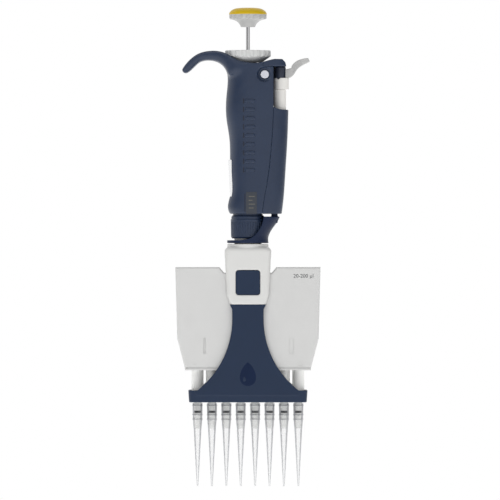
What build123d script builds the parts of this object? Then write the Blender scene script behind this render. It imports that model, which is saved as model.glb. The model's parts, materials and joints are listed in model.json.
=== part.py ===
"""Eight-channel adjustable-volume pipette with its row of disposable tips.

Row frame: +Z up along the plunger axis, +X along the row of tips towards the ejector
lever, -Y the front. The origin is on the plunger axis at the level of the tips' ends.
Millimetres. The pipette is drawn at its largest volume with the plunger released.
"""

import math
import os

from build123d import *

os.makedirs("parts", exist_ok=True)


# --------------------------------------------------------------------------- dimensions

# The channels follow the 9 mm pitch of a 96-well plate.
PITCH = 9.0
CHANNELS = 8
CHANNEL_X = [PITCH * (i - (CHANNELS - 1) / 2) for i in range(CHANNELS)]

# Travels.
PLUNGER_TRAVEL = 15.2
EJECTOR_TRAVEL = 5.5
LATCH_TRAVEL = 1.2
SCREW_TRAVEL = 10.8

# Tips.
TIP_TOP = 51.7
TIP_STEP = 41.6
TIP_WAIST = 35.5
TIP_TOP_R = 3.1
TIP_WALL = 0.42
TIP_END_R = 0.48
TIP_HOLE_R = 0.24

# Tip holders.
HOLDER_R = 3.75
HOLDER_STEM_R = 2.9
HOLDER_SHOULDER = 54.6
HOLDER_TOP = 100.0
NOZZLE_END = 36.0
PISTON_R = 1.7
PISTON_BORE_R = 1.8

# Manifold casing.
CASE_DEPTH = 11.0
CASE_WALL = 1.8
CASE_HALF_W = 45.3
CASE_TOP = 136.9
CASE_BOTTOM = 74.2
BASE_BOTTOM = 72.6
COLUMN_HALF_W = 10.8

# Ejector shovel and its bar.
BAR_BOTTOM = 52.6
BAR_TOP = 60.1
BAR_HALF_W = 37.2
BAR_HALF_D = 13.6
PLATE_IN = 11.4
SHOVEL_TOP = 113.6
SHOVEL_NECK = 9.8
SHOVEL_NECK_TOP = 110.5
SHOVEL_ARC_R = 56.1
SHOVEL_ARC_Z = 104.5

# Ejector collar.
COLLAR_TOP = 151.4
COLLAR_SHOULDER = 147.0
COLLAR_RING = 142.8
COLLAR_HALF_W = 14.6
COLLAR_HALF_D = 14.2
COLLAR_NECK_R = 12.9
COLLAR_WALL = 1.8
LATCH_Z = 127.3
LATCH_HALF = 7.5

# The casing's column stops short of the collar's ceiling by the ejector's travel.
COLUMN_TOP = COLLAR_SHOULDER - COLLAR_WALL - EJECTOR_TRAVEL - 0.5

# Coupling between the handle and the manifold.
FLANGE_TOP = 153.7
FLANGE_BOTTOM = 151.9
NUT_BOTTOM = 154.8
NUT_TOP = 169.3
NUT_R = 10.75
NECK_R = 8.5
SPIGOT_R = 9.3

# Handle.
HANDLE_BOTTOM = 170.2
SCOOP_Z = 264.2
SEAM_TOP_X = 15.9
COVER_TOP = 236.0
CAVITY_R = 9.1
CAVITY_TOP = 251.0

# Handle envelope: height, left reach, right reach and half depth of each egg section.
ENVELOPE = [
    (HANDLE_BOTTOM, 11.1, 21.1, 12.0),
    (182.0, 11.1, 22.5, 12.4),
    (194.0, 11.1, 23.3, 12.7),
    (209.5, 11.2, 24.3, 13.1),
    (219.0, 11.8, 24.8, 13.4),
    (229.3, 13.4, 25.15, 13.8),
    (240.1, 13.7, 25.5, 14.2),
    (253.5, 12.7, 26.0, 14.4),
    (263.0, 12.9, 26.4, 14.4),
    (272.0, 13.6, 26.8, 14.2),
]

# Seam between the handle and its rear cover, from the bottom up.
SEAM = [
    (8.8, HANDLE_BOTTOM - 2),
    (10.6, 182.1),
    (12.6, 193.6),
    (14.4, 209.5),
    (15.4, 222.3),
    (SEAM_TOP_X, COVER_TOP),
]

# Volume thumbwheel and plunger button.
WHEEL_R = 14.35
WHEEL_TOP = 272.3
WHEEL_FLOOR = 271.1
WHEEL_RIM = 268.7
WHEEL_CONE = 265.0
HUB_R = 5.5
HUB_BOTTOM = 254.0
BUTTON_R = 11.75
BUTTON_TOP = 298.9
BUTTON_CAP = 294.8
BUTTON_RIM = 291.9
BUTTON_BOTTOM = WHEEL_FLOOR + PLUNGER_TRAVEL + 0.7
ROD_R = 1.2
ROD_BOTTOM = 179.4
ROD_TOP = 289.0

# Ejector push rod.
TUBE_X = 20.0
TUBE_R = 3.85
TUBE_BOTTOM = 214.0
HEAD_BOTTOM = 247.8
HEAD_TOP = 255.1
BLOCK_TOP = 261.9
FOOT_X = 18.6
EJECTOR_ROD_X = 18.4


# ------------------------------------------------------------------------------ helpers


def save(piece, name):
    """Labels a finished sub-part and writes it as its own STEP file."""
    piece.part.label = name
    export_step(piece.part, f"parts/{name}.step")


def turn(points, x=0.0, mode=Mode.ADD):
    """Turns a polygon of (radius, z) points about the vertical line at x."""
    with BuildSketch(Plane.XZ) as profile:
        with BuildLine():
            Polyline(*[(x + radius, z) for radius, z in points], close=True)
        make_face()
    return revolve(profile.sketch, axis=Axis((x, 0, 0), (0, 0, 1)), mode=mode)


def ring(outer, inner, z_low, z_high, x=0.0, mode=Mode.ADD):
    """Plain ring standing on z_low, or a disc where inner is 0."""
    return turn([(inner, z_low), (outer, z_low), (outer, z_high), (inner, z_high)], x, mode)


def block(x_span, y_span, z_span, mode=Mode.ADD):
    """Box given by its low and high X, Y and Z."""
    spans = (x_span, y_span, z_span)
    with BuildSketch(Plane.XY.offset(z_span[0])) as base:
        with Locations((sum(x_span) / 2, sum(y_span) / 2)):
            Rectangle(*[high - low for low, high in spans[:2]])
    return extrude(base.sketch, amount=z_span[1] - z_span[0], mode=mode)


def egg_loft(sections, shrink=0.0, x=0.0, mode=Mode.ADD):
    """Loft through egg sections, each (z, left reach, right reach, half depth) about x."""
    faces = []
    for z, left, right, half_depth in sections:
        with BuildSketch(Plane.XY.offset(z)) as section:
            with BuildLine():
                EllipticalCenterArc((x, 0), left - shrink, half_depth - shrink, 90, arc_size=180)
                EllipticalCenterArc((x, 0), right - shrink, half_depth - shrink, 270, arc_size=180)
            make_face()
        faces.append(section.sketch)
    return loft(faces, ruled=False, mode=mode)


def right_of_seam(mode):
    """Everything to the right of the handle's seam, over its whole height."""
    with BuildSketch(Plane.XZ) as region:
        with BuildLine():
            seam = Spline(*SEAM)
            Polyline(seam @ 1, (SEAM_TOP_X, 300), (60, 300), (60, SEAM[0][1]), seam @ 0)
        make_face()
    return extrude(region.sketch, amount=30, both=True, mode=mode)


def spring(radius, wire, z_low, z_high, turns, x=0.0):
    """Round-wire compression spring standing on z_low, with its axis at x."""
    height = z_high - z_low - wire
    path = Helix(height / turns, height, radius, center=(x, 0, z_low + wire / 2))
    with BuildSketch(Plane(origin=path @ 0, z_dir=path % 0)) as section:
        Circle(wire / 2)
    return sweep(section.sketch, path=path, is_frenet=True)


# -------------------------------------------------------------------------------- tips

TIP_RIM_R = 3.25
BEAD_HEIGHT = 0.5
LOW_BEAD = 44.4
HIGH_BEAD = 50.3

tip_outer = [
    (TIP_END_R, 0.0),
    (1.42, 17.0),
    (2.42, TIP_WAIST),
    (2.95, TIP_STEP),
    (3.15, TIP_STEP),
    (3.15, TIP_STEP + BEAD_HEIGHT),
    (2.98, TIP_STEP + BEAD_HEIGHT),
    (3.0, LOW_BEAD),
    (3.2, LOW_BEAD),
    (3.2, LOW_BEAD + BEAD_HEIGHT),
    (3.0, LOW_BEAD + BEAD_HEIGHT),
    (TIP_TOP_R, HIGH_BEAD),
    (TIP_RIM_R, HIGH_BEAD),
    (TIP_RIM_R, HIGH_BEAD + BEAD_HEIGHT),
    (TIP_TOP_R, HIGH_BEAD + BEAD_HEIGHT),
    (TIP_TOP_R, TIP_TOP - 0.4),
    (TIP_RIM_R, TIP_TOP - 0.4),
    (TIP_RIM_R, TIP_TOP),
]
tip_inner = [
    (2.72, TIP_TOP),
    (2.5, TIP_STEP),
    (2.42 - TIP_WALL, TIP_WAIST),
    (1.42 - TIP_WALL, 17.0),
    (TIP_HOLE_R, 0.0),
]
RIB_COUNT = 10
RIB_BOTTOM = LOW_BEAD + BEAD_HEIGHT + 0.3
RIB_TOP = HIGH_BEAD

for number, channel_x in enumerate(CHANNEL_X, start=1):
    with BuildPart() as tip:
        turn(tip_outer + tip_inner, channel_x)
        with Locations((channel_x, 0, (RIB_BOTTOM + RIB_TOP) / 2)):
            with PolarLocations(TIP_TOP_R - 0.05, RIB_COUNT):
                Box(0.4, 0.5, RIB_TOP - RIB_BOTTOM)
    save(tip, f"tip_{number}")


# ------------------------------------------------------------------------- tip holders

NOZZLE_NECK_R = 2.55
SEAL_BOTTOM = 45.8
SEAL_TOP = 47.2
SEAL_OUTER_R = 2.5
GROOVE_R = 2.0
GROOVE_ROOM = 0.05
BORE_END = 58.0
AIRWAY_R = 0.6

holder_outer = [
    (AIRWAY_R, NOZZLE_END),
    (1.7, NOZZLE_END),
    (1.95, NOZZLE_END + 0.4),
    (2.3, 41.0),
    (2.38, SEAL_BOTTOM - GROOVE_ROOM),
    (GROOVE_R, SEAL_BOTTOM - GROOVE_ROOM),
    (GROOVE_R, SEAL_TOP + GROOVE_ROOM),
    (2.44, SEAL_TOP + GROOVE_ROOM),
    (NOZZLE_NECK_R, 51.2),
    (NOZZLE_NECK_R, HOLDER_SHOULDER),
    (HOLDER_R, HOLDER_SHOULDER),
    (HOLDER_R, BASE_BOTTOM),
    (HOLDER_STEM_R, BASE_BOTTOM),
    (HOLDER_STEM_R, HOLDER_TOP),
    (PISTON_BORE_R, HOLDER_TOP),
    (PISTON_BORE_R, BORE_END),
    (AIRWAY_R, BORE_END - 1.2),
]

for number, channel_x in enumerate(CHANNEL_X, start=1):
    with BuildPart() as tip_holder:
        turn(holder_outer, channel_x)
    save(tip_holder, f"tip_holder_{number}")

with BuildPart() as nozzle_seals:
    for channel_x in CHANNEL_X:
        ring(SEAL_OUTER_R, GROOVE_R + 0.01, SEAL_BOTTOM, SEAL_TOP, channel_x)
    fillet(nozzle_seals.edges().filter_by(GeomType.CIRCLE), 0.15)
save(nozzle_seals, "nozzle_seals")

with BuildPart() as piston_seals:
    for channel_x in CHANNEL_X:
        ring(HOLDER_STEM_R, PISTON_R + 0.05, HOLDER_TOP, HOLDER_TOP + 2.4, channel_x)
save(piston_seals, "piston_seals")


# ------------------------------------------------------------------------------ pistons

PLATE_BOTTOM = 124.0
PLATE_TOP = 129.0
PISTON_END = 84.0
GUIDE_X = 38.5
GUIDE_R = 1.4
LEDGE = (88.5, 92.5)
PISTON_ROD_TOP = ROD_BOTTOM - 0.3

with BuildPart() as pistons:
    for channel_x in CHANNEL_X:
        ring(PISTON_R, 0, PISTON_END, PLATE_BOTTOM, channel_x)
save(pistons, "pistons")

with BuildPart() as piston_plate:
    block((-41, 41), (-5.5, 5.5), (PLATE_BOTTOM, PLATE_TOP))
    fillet(piston_plate.edges().filter_by(Axis.Z), 3)
    with Locations((-GUIDE_X, 0, PLATE_TOP), (GUIDE_X, 0, PLATE_TOP)):
        Hole(GUIDE_R + 0.15)
save(piston_plate, "piston_plate")

with BuildPart() as piston_rod:
    ring(2.6, 0, PLATE_TOP, PISTON_ROD_TOP - 2.5)
    ring(3.1, 0, PISTON_ROD_TOP - 2.5, PISTON_ROD_TOP)
save(piston_rod, "piston_rod")

with BuildPart() as guide_rods:
    for side in (-1, 1):
        ring(GUIDE_R, 0, LEDGE[0] + 1, CASE_TOP - CASE_WALL, side * GUIDE_X)
save(guide_rods, "guide_rods")

with BuildPart() as return_springs:
    for side in (-1, 1):
        spring(2.25, 0.7, LEDGE[1], PLATE_BOTTOM, 12, side * GUIDE_X)
save(return_springs, "return_springs")


# ----------------------------------------------------------------------------- casing

CASE_STEP_X = 15.0
CASE_STEP_Z = 133.4
CASE_SHOULDER_X = 18.0
CASE_BEND_X = 44.1
CASE_BEND_Z = 92.3
CASE_FOOT_X = 39.4
CASE_RIM_R = 2.0
LEDGE_IN = 35.6
NECK_FOOT_R = 8.9
NECK_BORE = 4.2
NECK_TOP = 168.0
NECK_RIM_R = 9.3
NECK_RIM = (157.0, 159.8)
BASE_TOP = 77.2
SCREW_HEAD_R = 2.4
SCREWS = [(x, z) for x in (-24, 24) for z in (84, 128)]
SEAM_GAP = 0.3

# Shallow grooves and round gate marks on the casing's front.
GROOVE_Z = (83.0, 92.7)
GROOVES = [((-27.8, -26.3), 0.7), ((25.7, 28.7), 0.4)]
GATE_MARKS = [((-33.2, 76.9), 0.9), ((32.6, 76.6), 1.5)]
GATE_DEPTH = 0.3


def case_outline(inset=0.0):
    """Front outline of the casing: two wings either side of a short column."""
    right = [
        (COLUMN_HALF_W, COLUMN_TOP),
        (COLUMN_HALF_W, CASE_STEP_Z),
        (CASE_STEP_X, CASE_STEP_Z),
        (CASE_SHOULDER_X, CASE_TOP),
        (CASE_HALF_W, CASE_TOP),
        (CASE_BEND_X, CASE_BEND_Z),
        (CASE_FOOT_X, CASE_BOTTOM),
    ]
    left = [(-x, z) for x, z in reversed(right)]
    with BuildSketch(Plane.XZ) as outline:
        with BuildLine():
            Polyline(*right, *left, close=True)
        make_face()
        offset(amount=-inset, kind=Kind.INTERSECTION)
        corners = [v for v in outline.vertices() if v.Z > CASE_TOP - inset - 0.1 and abs(v.X) > 30]
        fillet(corners, CASE_RIM_R)
    return outline.sketch


def case_shell():
    """Hollow casing with both halves still in one, its foot left open."""
    extrude(case_outline(), amount=CASE_DEPTH, both=True)
    rims = edges().filter_by(lambda e: abs(abs(e.center().Y) - CASE_DEPTH) < 0.01)
    fillet(rims.filter_by(lambda e: e.center().Z > CASE_BOTTOM + 1), 1.2)
    extrude(case_outline(CASE_WALL), amount=CASE_DEPTH - CASE_WALL, both=True, mode=Mode.SUBTRACT)
    foot = (BASE_BOTTOM, CASE_BOTTOM + CASE_WALL + 0.1)
    inner = CASE_DEPTH - CASE_WALL
    block((CASE_WALL - CASE_FOOT_X, CASE_FOOT_X - CASE_WALL), (-inner, inner), foot, Mode.SUBTRACT)
    for side in (-1, 1):
        near, far = sorted((side * LEDGE_IN, side * (CASE_BEND_X - CASE_WALL - 0.5)))
        block((near, far), (-inner, inner), LEDGE)
        ring(GUIDE_R, 0, LEDGE[0] + 1, LEDGE[1], side * GUIDE_X, Mode.SUBTRACT)
    ring(NECK_R, 0, COLUMN_TOP - 5, COLUMN_TOP + 1, mode=Mode.SUBTRACT)


with BuildPart() as case_front:
    case_shell()
    split(bisect_by=Plane.XZ, keep=Keep.TOP)
    for x_span, depth in GROOVES:
        block(x_span, (-CASE_DEPTH - 1, depth - CASE_DEPTH), GROOVE_Z, Mode.SUBTRACT)
    with BuildSketch(Plane.XZ.offset(CASE_DEPTH - GATE_DEPTH)):
        for place, radius in GATE_MARKS:
            with Locations(place):
                Circle(radius)
    extrude(amount=1, mode=Mode.SUBTRACT)
save(case_front, "case_front")

with BuildPart() as case_back:
    case_shell()
    split(bisect_by=Plane.XZ, keep=Keep.BOTTOM)
    for x, z in SCREWS:
        with Locations(Plane(origin=(x, CASE_DEPTH, z), z_dir=(0, 1, 0))):
            CounterBoreHole(1.3, SCREW_HEAD_R, 1.0, CASE_WALL + 1)
save(case_back, "case_back")

with BuildPart() as casing_screws:
    for x, z in SCREWS:
        with BuildSketch(Plane(origin=(x, CASE_DEPTH - 1.0, z), z_dir=(0, 1, 0))):
            Circle(SCREW_HEAD_R - 0.1)
            RegularPolygon(1.0, 6, mode=Mode.SUBTRACT)
        extrude(amount=0.8)
        with BuildSketch(Plane(origin=(x, CASE_DEPTH - 1.0, z), z_dir=(0, -1, 0))):
            Circle(1.2)
        extrude(amount=3.4)
save(casing_screws, "casing_screws")

with BuildPart() as base_plate:
    block((-39.3, 39.3), (-10.6, 10.6), (BASE_BOTTOM, CASE_BOTTOM - SEAM_GAP))
    fillet(base_plate.edges().filter_by(Axis.Z), 2)
    half_w = CASE_FOOT_X - CASE_WALL
    block((-half_w, half_w), (-9.2, 9.2), (CASE_BOTTOM - SEAM_GAP, BASE_TOP))
    for channel_x in CHANNEL_X:
        ring(HOLDER_STEM_R, 0, BASE_BOTTOM, BASE_TOP, channel_x, Mode.SUBTRACT)
save(base_plate, "base_plate")

with BuildPart() as manifold_neck:
    ring(NECK_R, NECK_BORE, COLUMN_TOP - CASE_WALL, NECK_TOP)
    ring(NECK_FOOT_R, NECK_BORE, COLUMN_TOP - CASE_WALL - 2.5, COLUMN_TOP - CASE_WALL)
    ring(NECK_RIM_R, NECK_BORE, *NECK_RIM)
save(manifold_neck, "manifold_neck")


# ----------------------------------------------------------------------------- ejector

SHOVEL_SHOULDER = 11.35
BAR_WALL = 1.5
TONGUE = (113.6, 118.4)
TONGUE_HALF_W = 7.6
TONGUE_T = 1.0
COLLAR_CEILING = 149.4


def shovel_plate(near, far):
    """One curved-in plate of the shovel between two depths."""
    centre_x = SHOVEL_NECK + SHOVEL_ARC_R
    angle = math.degrees(math.asin((SHOVEL_ARC_Z - BAR_TOP) / SHOVEL_ARC_R))
    with BuildSketch(Plane.XZ.offset(near)) as outline:
        with BuildLine():
            for side in (-1, 1):
                start = 180 if side > 0 else 0
                arc = CenterArc((side * centre_x, SHOVEL_ARC_Z), SHOVEL_ARC_R, start, side * angle)
                Polyline((side * SHOVEL_SHOULDER, SHOVEL_TOP), (side * SHOVEL_NECK, SHOVEL_NECK_TOP), arc @ 0)
                Polyline(arc @ 1, (arc @ 1 - (0, 3)), (0, BAR_TOP - 3))
            Line((-SHOVEL_SHOULDER, SHOVEL_TOP), (SHOVEL_SHOULDER, SHOVEL_TOP))
        make_face()
    return extrude(outline.sketch, amount=far - near)


with BuildPart() as ejector_shovel:
    with BuildSketch(Plane.XY.offset(BAR_BOTTOM)):
        RectangleRounded(2 * BAR_HALF_W - 1, 2 * BAR_HALF_D - 0.6, 3.5)
    with BuildSketch(Plane.XY.offset(BAR_TOP)):
        RectangleRounded(2 * BAR_HALF_W, 2 * BAR_HALF_D, 3.5)
    loft()
    with BuildSketch(Plane.XY.offset(BAR_BOTTOM + CASE_WALL)):
        RectangleRounded(2 * (BAR_HALF_W - BAR_WALL), 2 * PLATE_IN, 2)
    extrude(amount=20, mode=Mode.SUBTRACT)
    shovel_plate(PLATE_IN, BAR_HALF_D)
    shovel_plate(-PLATE_IN, -BAR_HALF_D)
    for y in (-PLATE_IN - TONGUE_T, PLATE_IN):
        block((-TONGUE_HALF_W, TONGUE_HALF_W), (y, y + TONGUE_T), TONGUE)
    for channel_x in CHANNEL_X:
        ring(2.85, 0, BAR_BOTTOM - 1, BAR_TOP, channel_x, Mode.SUBTRACT)
save(ejector_shovel, "ejector_shovel")

# Collar sections: height, half width and half depth, with a domed crown above the shoulder.
COLLAR_SECTIONS = [
    (SHOVEL_TOP + 0.1, SHOVEL_SHOULDER, COLLAR_HALF_D),
    (119.5, COLLAR_HALF_W - 1.3, COLLAR_HALF_D),
    (COLLAR_SHOULDER, COLLAR_HALF_W, COLLAR_HALF_D),
]
CROWN_RISE = 3.1
CROWN_RUN = 6.0
for degrees in (18, 36, 54, 72):
    run_in = CROWN_RUN * (1 - math.cos(math.radians(degrees)))
    crown_z = COLLAR_SHOULDER + CROWN_RISE * math.sin(math.radians(degrees))
    COLLAR_SECTIONS.append((crown_z, COLLAR_HALF_W - run_in, COLLAR_HALF_D - run_in))

with BuildPart() as ejector_collar:
    for z, half_w, half_d in COLLAR_SECTIONS:
        with BuildSketch(Plane.XY.offset(z)):
            RectangleRounded(2 * half_w, 2 * half_d, 3)
    loft(ruled=True)
    ring(COLLAR_NECK_R, 0, COLLAR_SHOULDER - 0.5, COLLAR_TOP)
    inner_w = COLLAR_HALF_W - COLLAR_WALL
    low = (SHOVEL_TOP - 1, COLLAR_SHOULDER - COLLAR_WALL)
    block((-inner_w, inner_w), (-PLATE_IN, PLATE_IN), low, Mode.SUBTRACT)
    block((-30, 30), (-PLATE_IN, PLATE_IN), (SHOVEL_TOP - 1, COLLAR_RING), Mode.SUBTRACT)
    ring(11.2, 0, COLLAR_RING, COLLAR_CEILING, mode=Mode.SUBTRACT)
    ring(NECK_R + 0.5, 0, COLLAR_CEILING - 1, COLLAR_TOP + 1, mode=Mode.SUBTRACT)
    for y in (-PLATE_IN - TONGUE_T, PLATE_IN):
        pocket = (SHOVEL_TOP, TONGUE[1])
        block((-TONGUE_HALF_W, TONGUE_HALF_W), (y, y + TONGUE_T), pocket, Mode.SUBTRACT)
    with BuildSketch(Plane.XZ.offset(PLATE_IN - 1)):
        with Locations((0, LATCH_Z)):
            RectangleRounded(2 * LATCH_HALF + 0.4, 2 * LATCH_HALF + 0.7, 1.9)
    extrude(amount=5, mode=Mode.SUBTRACT)
save(ejector_collar, "ejector_collar")

with BuildPart() as latch_button:
    with BuildSketch(Plane.XZ.offset(PLATE_IN + LATCH_TRAVEL + 0.1)):
        with Locations((0, LATCH_Z)):
            RectangleRounded(2 * LATCH_HALF, 2 * LATCH_HALF + 0.3, 1.7)
    extrude(amount=COLLAR_HALF_D - PLATE_IN - LATCH_TRAVEL - 0.3)
    fillet(latch_button.faces().sort_by(Axis.Y)[0].edges(), 0.4)
save(latch_button, "latch_button")

ARM_SCOOP_R = 11.4
ARM_TOP = 168.5
STEM_X = (14.6, 18.6)
STEM_HALF_D = 3.0
STEM_TOP = 192.0
ARM_SECTIONS = [
    (FLANGE_BOTTOM, 13.0, 13.0, 13.0),
    (157.8, 13.0, 13.5, 12.9),
    (161.6, 13.0, 15.8, 12.7),
    (166.1, 13.0, 18.9, 12.2),
    (ARM_TOP, 13.0, 19.9, 11.9),
]
ARM_EDGE = [
    (-5.0, FLANGE_TOP),
    (-1.0, 154.3),
    (1.9, 155.2),
    (4.4, 157.0),
    (6.8, 160.0),
    (8.7, 163.6),
    (9.6, ARM_TOP + 1),
]

with BuildPart() as ejector_arm:
    egg_loft(ARM_SECTIONS)
    ring(ARM_SCOOP_R, 0, FLANGE_TOP, ARM_TOP + 1, mode=Mode.SUBTRACT)
    with BuildSketch(Plane.XZ):
        with BuildLine():
            edge = Spline(*ARM_EDGE)
            Polyline(edge @ 1, (-20, ARM_TOP + 1), (-20, FLANGE_TOP), edge @ 0)
        make_face()
    extrude(amount=20, both=True, mode=Mode.SUBTRACT)
    block(STEM_X, (-STEM_HALF_D, STEM_HALF_D), (ARM_TOP - 4, STEM_TOP))
    ring(NECK_R + 0.7, 0, FLANGE_BOTTOM - 1, FLANGE_TOP + 1, mode=Mode.SUBTRACT)
save(ejector_arm, "ejector_arm")

FOOT_R = 2.4
FOOT_TOP = 234.5
ROD_SOCKET = 217.0
EJECTOR_ROD_R = 1.4
BRACKET = (196.6, 199.6)

with BuildPart() as ejector_rod:
    ring(EJECTOR_ROD_R, 0, STEM_TOP, ROD_SOCKET, EJECTOR_ROD_X)
save(ejector_rod, "ejector_rod")

with BuildPart() as ejector_spring:
    spring(2.1, 0.5, BRACKET[1], TUBE_BOTTOM, 7, EJECTOR_ROD_X)
save(ejector_spring, "ejector_spring")

with BuildPart() as ejector_tube:
    ring(FOOT_R, 0, TUBE_BOTTOM, FOOT_TOP, FOOT_X)
    ring(TUBE_R, 0, FOOT_TOP, HEAD_BOTTOM, TUBE_X)
    ring(EJECTOR_ROD_R, 0, TUBE_BOTTOM, ROD_SOCKET, EJECTOR_ROD_X, Mode.SUBTRACT)
save(ejector_tube, "ejector_tube")

HEAD_SECTION = (3.3, 5.6, 4.6)
BLOCK_SECTION = (3.3, 3.7, 4.6)
TOOTH_X = 19.2
TOOTH_HALF_W = 1.4


def tooth(half_depth, mode=Mode.ADD):
    """V-shaped tooth that keys the block into the head, pointing down."""
    with BuildSketch(Plane.XZ) as section:
        with BuildLine():
            left = (TOOTH_X - TOOTH_HALF_W, HEAD_TOP)
            right = (TOOTH_X + TOOTH_HALF_W, HEAD_TOP)
            Polyline(left, (TOOTH_X, HEAD_TOP - 1), right, close=True)
        make_face()
    extrude(section.sketch, amount=half_depth, both=True, mode=mode)


with BuildPart() as ejector_head:
    egg_loft([(z, *HEAD_SECTION) for z in (HEAD_BOTTOM + 0.15, HEAD_TOP)], x=TUBE_X)
    tooth(10, Mode.SUBTRACT)
save(ejector_head, "ejector_head")

with BuildPart() as ejector_block:
    egg_loft([(z, *BLOCK_SECTION) for z in (HEAD_TOP, BLOCK_TOP)], x=TUBE_X)
    fillet(ejector_block.faces().sort_by(Axis.Z)[-1].edges(), 0.5)
    tooth(3.5)
save(ejector_block, "ejector_block")

LEVER_ROOT = (23.4, HEAD_TOP + 0.1)
LEVER_TOP = [(27.0, 261.3), (29.2, 264.8), (33.0, 266.7), (37.6, 267.5)]
LEVER_UNDER = [(38.7, 265.3), (34.3, 263.1), (30.6, 260.2), (28.5, 257.0), (26.0, LEVER_ROOT[1])]
LEVER_HALF_PLAN = [(23, 3.2), (28, 4), (34, 7), (40, 7)]

with BuildPart() as ejector_lever:
    with BuildSketch(Plane.XZ):
        with BuildLine():
            Polyline(LEVER_UNDER[-1], LEVER_ROOT, (LEVER_ROOT[0], 260.4), LEVER_TOP[0])
            Spline(*LEVER_TOP)
            Line(LEVER_TOP[-1], LEVER_UNDER[0])
            Spline(*LEVER_UNDER)
        make_face()
    extrude(amount=7, both=True)
    with BuildSketch(Plane.XY.offset(250)):
        with BuildLine():
            near_side = [(x, -half) for x, half in LEVER_HALF_PLAN]
            Polyline(*near_side, *reversed(LEVER_HALF_PLAN), close=True)
        make_face()
        fillet([v for v in vertices() if v.X > 39], 4)
    extrude(amount=20, mode=Mode.INTERSECT)
    egg_loft([(z, *BLOCK_SECTION) for z in (HEAD_TOP, BLOCK_TOP)], x=TUBE_X, mode=Mode.SUBTRACT)
save(ejector_lever, "ejector_lever")


# ---------------------------------------------------------------------------- coupling

NUT_LIP_R = NECK_R + 0.3
NUT_LIP_TOP = NECK_RIM[0] - 0.2
NUT_BORE_R = SPIGOT_R + 0.2
NUT_BEAD = 166.6
NUT_FLUTES = 40
SPIGOT_BOTTOM = NECK_RIM[1] + 0.3
SPIGOT_FLOOR = NECK_TOP + 0.6
SPIGOT_STEM_R = 7.0
SPIGOT_BORE_R = 3.6
SPIGOT_TOP = 180.0

with BuildPart() as coupling_nut:
    turn(
        [
            (NUT_LIP_R, NUT_BOTTOM),
            (NUT_R - 0.9, NUT_BOTTOM),
            (NUT_R - 0.2, NUT_BOTTOM + 1),
            (NUT_R, NUT_BEAD),
            (NUT_R - 0.4, NUT_BEAD + 0.4),
            (NUT_R - 0.4, NUT_TOP - 0.9),
            (NUT_R - 1.2, NUT_TOP),
            (NUT_BORE_R, NUT_TOP),
            (NUT_BORE_R, NUT_LIP_TOP),
            (NUT_LIP_R, NUT_LIP_TOP),
        ]
    )
    with BuildSketch(Plane.XY.offset(NUT_BOTTOM + 1.4)):
        with PolarLocations(NUT_R + 0.15, NUT_FLUTES):
            Circle(0.45)
    extrude(amount=9, mode=Mode.SUBTRACT)
save(coupling_nut, "coupling_nut")

with BuildPart() as coupling_spigot:
    turn(
        [
            (NECK_R + 0.2, SPIGOT_BOTTOM),
            (SPIGOT_R, SPIGOT_BOTTOM),
            (SPIGOT_R, HANDLE_BOTTOM),
            (SPIGOT_STEM_R, HANDLE_BOTTOM),
            (SPIGOT_STEM_R, SPIGOT_TOP),
            (SPIGOT_BORE_R, SPIGOT_TOP),
            (SPIGOT_BORE_R, SPIGOT_FLOOR),
            (NECK_R + 0.2, SPIGOT_FLOOR),
        ]
    )
save(coupling_spigot, "coupling_spigot")


# ------------------------------------------------------------------------------ handle

CROWN = [
    (-41.1, 260.3),
    (-38.5, 264.1),
    (-35.1, 267.5),
    (-30.8, 270.3),
    (-25.1, 271.8),
    (-20.8, 272.0),
    (-16.4, 271.3),
    (-12.1, 269.6),
    (-7.8, 267.2),
    (-3.5, 265.5),
    (1.3, 264.4),
    (5.0, SCOOP_Z),
    (9.5, 265.0),
    (SEAM_TOP_X + 0.6, 266.8),
]
HOOK_UNDERSIDE = [
    (-38.3, 258.0),
    (-33.6, 261.8),
    (-29.9, 265.0),
    (-24.2, 266.1),
    (-20.2, 265.5),
    (-16.4, 263.5),
    (-13.8, 260.3),
    (-12.4, 255.6),
]
HOOK_ROOT = [(-6.0, 259.0), (3.0, 261.0)]
HOOK_ROUND = 3.0
HOOK_PLAN = [
    (-43.0, 5.6),
    (-30.0, 7.2),
    (-20.0, 9.4),
    (-12.0, 12.2),
    (4.0, 13.9),
]
CAP_X = 9.5
CAP_BOTTOM = 262.3
CAP_OUTLINE = [
    (CAP_X, CAP_BOTTOM),
    (24.0, CAP_BOTTOM),
    (23.4, 264.8),
    (21.4, 266.9),
    (CAP_X, 267.5),
]
LOCK_X = 10.5
LOCK_Z = 257.1
LOCK_R = 2.55
LOCK_HALF = 12.9
BEARING_R = 7.0
BEARING = (HUB_BOTTOM, 262.0)
LENS = (181.0, 203.9)
LENS_IN = 9.7
LENS_HALF_W = 5.0
LENS_OUTLINE = [(-12.3, LENS[1]), (-LENS_IN, LENS[1]), (-LENS_IN, LENS[0]), (-11.1, LENS[0])]
WINDOW = (LENS[0] + 1.2, LENS[1] - 0.9)
WINDOW_HALF_W = 4.2
COVER_WALL = 1.0
COVER_CEILING = 233.8
TUBE_RIB = ((SEAM_TOP_X - 0.5, 17.4), (5.0, 10.2), (COVER_TOP + 2.0, CAP_BOTTOM - 0.1))
COVER_LIP = [(0, 237.6), (SEAM_TOP_X, 237.1), (26, 235.0), (60, 235.0), (60, 300), (0, 300)]
WHEEL_POCKET = [(0, 264.0), (9.6, 264.0), (15.1, 267.7), (15.1, 285), (0, 285)]
LABEL_X = (-1.2, 5.5)
LABEL_TOP = 183.7


def below_crown():
    """Keeps what lies under the handle's top line, the thumb scoop and the hook's back."""
    with BuildSketch(Plane.XZ) as region:
        with BuildLine():
            crown = Spline(*CROWN)
            Polyline(crown @ 1, (40, 266.8), (40, 150), (-60, 150), (-60, 260.3), crown @ 0)
        make_face()
    extrude(region.sketch, amount=30, both=True, mode=Mode.INTERSECT)


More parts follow.
